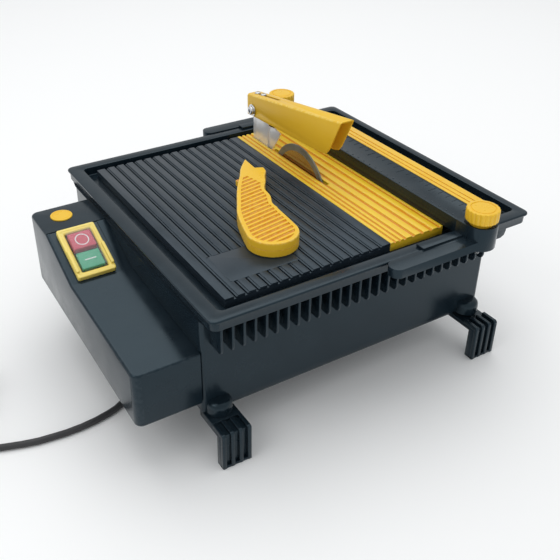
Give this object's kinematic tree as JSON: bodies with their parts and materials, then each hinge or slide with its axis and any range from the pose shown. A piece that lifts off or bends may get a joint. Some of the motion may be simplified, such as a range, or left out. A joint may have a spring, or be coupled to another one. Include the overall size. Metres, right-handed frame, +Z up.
{
  "type": "tile cutter",
  "caption": "Bench wet tile cutter: ribbed table in a water tub, low diamond blade in a yellow insert, hinged guard, clamping rip fence and switch box.",
  "frame": {"origin": "on the floor under the middle of the object's own plan, without the cord", "axes": "+X along the rim's front edge away from the switch box, +Y from the front to the back, +Z up"},
  "size_m": [0.664, 0.411, 0.255],
  "materials": {
    "black_plastic": "moulded, fine matt grain",
    "yellow_plastic": "moulded, satin",
    "bezel_plastic": "moulded, glossy",
    "guard_paint": "powder coated",
    "zinc_steel": "zinc plated",
    "polished_steel": "bright sheet steel",
    "turned_steel": "turned",
    "cast_alloy": "cast",
    "cradle_steel": "painted",
    "windings": "varnished laminations and windings",
    "blade_steel": "ground",
    "diamond_rim": "sintered, gritty",
    "switch_black": "moulded",
    "stop_red": "moulded",
    "start_green": "moulded",
    "clear_cover": "clear flexible cover",
    "cord_rubber": "black sheath",
    "belt_rubber": "black"
  },
  "bodies": {
    "base": {"tub": "black_plastic", "base_cover": "black_plastic", "case_screws": "zinc_steel", "foot_screws": "zinc_steel", "switch_housing": "black_plastic", "switch_bezel": "bezel_plastic", "switch_cover": "clear_cover", "switch_body": "switch_black", "blanking_cap": "yellow_plastic", "cable_gland": "cord_rubber", "cord": "cord_rubber", "cord_coil": "cord_rubber", "cord_tie": "cord_rubber", "plug_body": "cord_rubber", "plug_pins": "zinc_steel", "table_plate": "black_plastic", "insert_plate": "yellow_plastic", "motor_can": "turned_steel", "stator": "windings", "end_bells": "cast_alloy", "motor_cradle": "cradle_steel", "drive_belt": "belt_rubber", "bearing_block": "cast_alloy", "ball_bearings": "turned_steel", "shaft_seal": "belt_rubber", "guard_post": "polished_steel", "riving_knife": "polished_steel", "knife_bracket": "zinc_steel", "knife_bolts": "zinc_steel", "guard_bolt": "zinc_steel", "guard_washers": "zinc_steel", "guard_nut": "zinc_steel"},
    "spindle_unit": {"spindle": "turned_steel", "spindle_pulley": "cast_alloy", "inner_flange": "turned_steel", "outer_flange": "turned_steel", "arbor_nut": "zinc_steel", "blade_core": "blade_steel", "blade_rim": "diamond_rim"},
    "motor_rotor": {"rotor": "turned_steel", "motor_shaft": "turned_steel", "motor_pulley": "cast_alloy"},
    "blade_guard": {"guard": "guard_paint", "guard_screws": "zinc_steel"},
    "fence": {"fence_bar": "black_plastic", "fence_rail": "yellow_plastic", "fence_head_front": "black_plastic", "fence_head_rear": "black_plastic", "clamp_studs": "zinc_steel", "clamp_shoes": "cast_alloy"},
    "front_clamp_knob": {"front_knob": "yellow_plastic"},
    "rear_clamp_knob": {"rear_knob": "yellow_plastic"},
    "stop": {"stop_button": "stop_red"},
    "start": {"start_button": "start_green"},
    "stick": {"push_stick": "yellow_plastic"},
    "foot_fl": {"foot_front_left": "black_plastic"},
    "foot_fr": {"foot_front_right": "black_plastic"},
    "foot_rl": {"foot_rear_left": "black_plastic"},
    "foot_rr": {"foot_rear_right": "black_plastic"},
    "drain": {"drain_plug": "black_plastic"}
  },
  "joints": [
    {"name": "motor_spin", "type": "hinge", "parent": "base", "child": "motor_rotor", "pos_m": [-0.0675, -0.031, 0.102], "axis": [1, 0, 0], "continuous": true},
    {"name": "blade_spin", "type": "hinge", "parent": "base", "child": "spindle_unit", "pos_m": [0.0805, 0.044, 0.1375], "axis": [1, 0, 0], "continuous": true},
    {"name": "guard_hinge", "type": "hinge", "parent": "base", "child": "blade_guard", "pos_m": [0.0805, 0.138, 0.208], "axis": [1, 0, 0], "range_deg": [-60, 12]},
    {"name": "fence_slide", "type": "slide", "parent": "base", "child": "fence", "axis": [1, 0, 0], "range_m": [-0.03, 0.03]},
    {"name": "front_knob_turn", "type": "hinge", "parent": "fence", "child": "front_clamp_knob", "pos_m": [0.1465, -0.188, 0.187], "axis": [0, 0, 1], "range_deg": [0, 360]},
    {"name": "rear_knob_turn", "type": "hinge", "parent": "fence", "child": "rear_clamp_knob", "pos_m": [0.1465, 0.188, 0.187], "axis": [0, 0, 1], "range_deg": [0, 360]},
    {"name": "stop_press", "type": "slide", "parent": "base", "child": "stop", "axis": [0, 0.3956, -0.9184], "range_m": [0, 0.0025], "stiffness_N_per_m": 800, "springref_m": -0.001},
    {"name": "start_press", "type": "slide", "parent": "base", "child": "start", "axis": [0, 0.3956, -0.9184], "range_m": [0, 0.0025], "stiffness_N_per_m": 800, "springref_m": -0.001},
    {"name": "stick_lift", "type": "slide", "parent": "base", "child": "stick", "axis": [0, 0, 1], "range_m": [0, 0.08]},
    {"name": "foot_fl_swivel", "type": "hinge", "parent": "base", "child": "foot_fl", "pos_m": [-0.1435, -0.157, 0.044], "axis": [0, 0, 1], "range_deg": [0, 180]},
    {"name": "foot_fr_swivel", "type": "hinge", "parent": "base", "child": "foot_fr", "pos_m": [0.1795, -0.157, 0.044], "axis": [0, 0, 1], "range_deg": [-180, 0]},
    {"name": "foot_rl_swivel", "type": "hinge", "parent": "base", "child": "foot_rl", "pos_m": [-0.1435, 0.157, 0.044], "axis": [0, 0, 1], "range_deg": [-180, 0]},
    {"name": "foot_rr_swivel", "type": "hinge", "parent": "base", "child": "foot_rr", "pos_m": [0.1795, 0.157, 0.044], "axis": [0, 0, 1], "range_deg": [0, 180]},
    {"name": "drain_pull", "type": "slide", "parent": "base", "child": "drain", "axis": [0, 0, -1], "range_m": [0, 0.02]}
  ],
  "couplings": [
    {"joint": "blade_spin", "follows": "motor_spin", "ratio": 1.3846}
  ]
}
